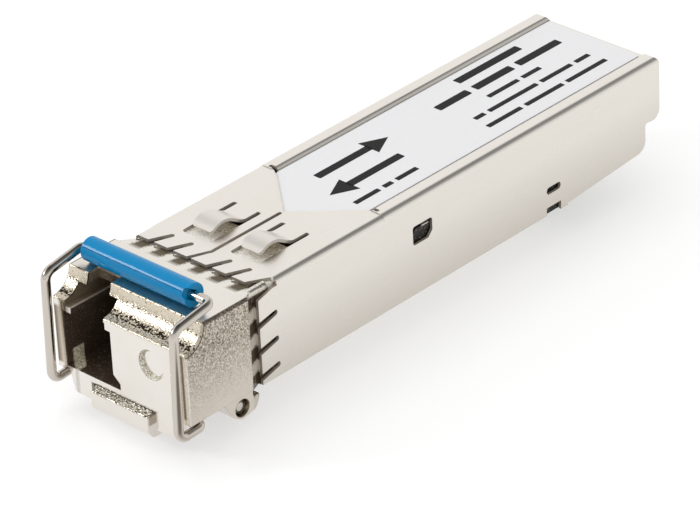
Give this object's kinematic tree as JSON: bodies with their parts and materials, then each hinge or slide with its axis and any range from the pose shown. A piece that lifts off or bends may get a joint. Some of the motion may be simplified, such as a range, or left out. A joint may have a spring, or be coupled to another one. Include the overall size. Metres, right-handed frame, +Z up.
{
  "type": "optical transceiver module",
  "caption": "Pluggable network transceiver with an optical port in a cast nose, a folded metal cover, a wire bail that frees a rocking latch, and a card edge at the rear.",
  "frame": {"origin": "on the underside, in the middle of the width, at the tips of the cover's front spring fingers, where the module meets the cage mouth", "axes": "+X to the right when looking into the port, +Y from the port to the card edge (the way it is pushed into a cage), +Z up"},
  "size_m": [0.0144, 0.057, 0.0128],
  "materials": {
    "nickel_casting": "nickel-plated zinc die casting, lightly grained",
    "nickel_sheet": "nickel-plated spring steel sheet, satin",
    "label_film": "white polyester label, matte",
    "polished_wire": "polished spring steel wire",
    "blue_plastic": "moulded plastic, blue, semi-gloss",
    "turned_steel": "turned stainless steel",
    "spring_steel": "spring steel strip",
    "zirconia": "white zirconia ceramic, ground",
    "black_rubber": "conductive elastomer",
    "filter_glass": "coated glass plate",
    "gold_plate": "gold plating",
    "amber_film": "amber flexible circuit film",
    "board_laminate": "green solder mask on glass epoxy",
    "mould_compound": "black mould compound",
    "capacitor_ceramic": "tan ceramic",
    "resistor_glaze": "dark glaze",
    "ferrite": "dark grey ferrite"
  },
  "bodies": {
    "housing": {"base_housing": "nickel_casting", "top_cover": "nickel_sheet", "cover_label": "label_film", "lever_pin": "turned_steel", "latch_spring": "spring_steel", "optics_clamp": "spring_steel", "lc_receptacle": "turned_steel", "optics_block": "turned_steel", "alignment_sleeve": "zirconia", "fibre_stub": "zirconia", "receptacle_gasket": "black_rubber", "wavelength_filter": "filter_glass", "laser_can": "gold_plate", "laser_pins": "gold_plate", "photodiode_can": "gold_plate", "photodiode_pins": "gold_plate", "laser_flex": "amber_film", "photodiode_flex": "amber_film", "circuit_board": "board_laminate", "edge_contacts_top": "gold_plate", "edge_contacts_bottom": "gold_plate", "laser_driver_chip": "mould_compound", "receiver_amplifier_chip": "mould_compound", "controller_chip": "mould_compound", "memory_chip": "mould_compound", "chip_capacitors": "capacitor_ceramic", "chip_resistors": "resistor_glaze", "ferrite_beads": "ferrite"},
    "bail": {"bail_wire": "polished_wire", "bail_sleeve": "blue_plastic"},
    "lever": {"latch_lever": "nickel_casting"}
  },
  "joints": [
    {"name": "bail_pivot", "type": "hinge", "parent": "housing", "child": "bail", "pos_m": [0, -0.0067, -0.00015], "axis": [1, 0, 0], "range_deg": [0, 90]},
    {"name": "lever_pivot", "type": "hinge", "parent": "housing", "child": "lever", "pos_m": [0, -0.0028, -0.00045], "axis": [1, 0, 0], "range_deg": [0, 5.6], "stiffness_Nm_per_rad": 0.005, "springref_deg": -5.73, "deforming": ["latch_spring"]}
  ],
  "couplings": [
    {"joint": "lever_pivot", "follows": "bail_pivot", "ratio": 0.06111}
  ]
}
